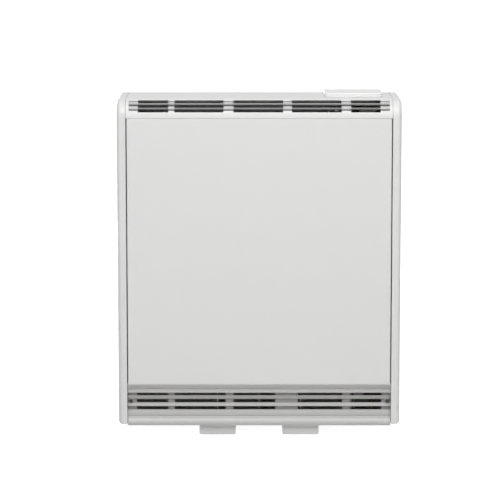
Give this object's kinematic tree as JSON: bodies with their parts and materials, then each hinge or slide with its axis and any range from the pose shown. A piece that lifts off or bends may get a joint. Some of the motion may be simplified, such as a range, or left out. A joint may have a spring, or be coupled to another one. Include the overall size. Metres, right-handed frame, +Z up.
{
  "type": "storage heater",
  "caption": "Slim floor-standing storage heater: white steel cabinet, louvred nose and inlet grilles, hinged control cover over two knobs, brick core and an air damper.",
  "frame": {"origin": "on the floor, under the middle of the cabinet's width and depth", "axes": "+Z up, +Y towards the wall that the heater stands against, so the front faces -Y and the controls are at +X"},
  "size_m": [0.586, 0.17, 0.7163],
  "materials": {
    "casing_white": "satin",
    "moulding_white": "satin",
    "dial_white": "matte",
    "zinc": "satin",
    "dark_screws": "satin",
    "inner_steel": "satin",
    "insulation": "matte",
    "brick": "matte",
    "element_sheath": "satin",
    "bush_ceramic": "matte",
    "brass": "satin",
    "black_plastic": "matte",
    "inner_plastic": "matte",
    "grommet_rubber": "matte",
    "lead_brown": "satin",
    "lead_blue": "satin",
    "lead_green": "satin"
  },
  "bodies": {
    "cabinet": {"left_side_panel": "casing_white", "right_side_panel": "casing_white", "top_panel": "casing_white", "front_panel": "casing_white", "base_tray": "casing_white", "back_panel": "casing_white", "left_foot": "casing_white", "right_foot": "casing_white", "outlet_grille": "moulding_white", "inlet_grille": "moulding_white", "control_tray": "moulding_white", "dial_plate": "dial_white", "damper_bearings": "zinc", "control_bracket": "zinc", "cover_hinge_pin": "zinc", "panel_screws": "dark_screws", "core_stand": "inner_steel", "front_heat_shield": "inner_steel", "top_heat_shield": "inner_steel", "left_inner_panel": "inner_steel", "right_inner_panel": "inner_steel", "base_insulation": "insulation", "back_insulation": "insulation", "front_insulation": "insulation", "left_insulation": "insulation", "right_insulation": "insulation", "top_insulation": "insulation", "front_brick_left_lower": "brick", "front_brick_left_middle": "brick", "front_brick_left_upper": "brick", "front_brick_right_lower": "brick", "front_brick_right_middle": "brick", "front_brick_right_upper": "brick", "back_brick_left_lower": "brick", "back_brick_left_middle": "brick", "back_brick_left_upper": "brick", "back_brick_right_lower": "brick", "back_brick_right_middle": "brick", "back_brick_right_upper": "brick", "heating_elements": "element_sheath", "element_bushes": "bush_ceramic", "terminal_block": "bush_ceramic", "element_nuts": "brass", "thermostat_bulb": "brass", "thermal_cutout": "black_plastic", "charge_thermostat": "inner_plastic", "cord_clamp": "inner_plastic", "cable_grommet": "grommet_rubber", "live_leads": "lead_brown", "neutral_leads": "lead_blue", "earth_lead": "lead_green"},
    "control_cover": {"control_cover": "moulding_white"},
    "input_control": {"input_knob": "moulding_white", "input_spindle": "zinc"},
    "output_control": {"output_knob": "moulding_white", "output_spindle": "zinc", "output_cam": "black_plastic"},
    "damper_slide": {"damper_slide": "zinc"},
    "damper": {"damper_flap": "inner_steel", "damper_shaft": "zinc"}
  },
  "joints": [
    {"name": "cover_hinge", "type": "hinge", "parent": "cabinet", "child": "control_cover", "pos_m": [0.196, 0.062, 0.7123], "axis": [-1, 0, 0], "range_deg": [0, 95]},
    {"name": "input_turn", "type": "hinge", "parent": "cabinet", "child": "input_control", "pos_m": [0.225, 0.017, 0.6926], "axis": [0, 0, -1], "range_deg": [0, 270]},
    {"name": "output_turn", "type": "hinge", "parent": "cabinet", "child": "output_control", "pos_m": [0.167, 0.017, 0.6926], "axis": [0, 0, -1], "range_deg": [0, 270]},
    {"name": "slide_travel", "type": "slide", "parent": "cabinet", "child": "damper_slide", "axis": [0, 1, 0], "range_m": [0, 0.0101]},
    {"name": "damper_turn", "type": "hinge", "parent": "cabinet", "child": "damper", "pos_m": [-0.04, -0.03, 0.6605], "axis": [-1, 0, 0], "range_deg": [0, 29.1]}
  ],
  "couplings": [
    {"joint": "slide_travel", "follows": "output_turn", "m_per_rad": 0.0021221},
    {"joint": "damper_turn", "follows": "output_turn", "ratio": 0.10724}
  ]
}
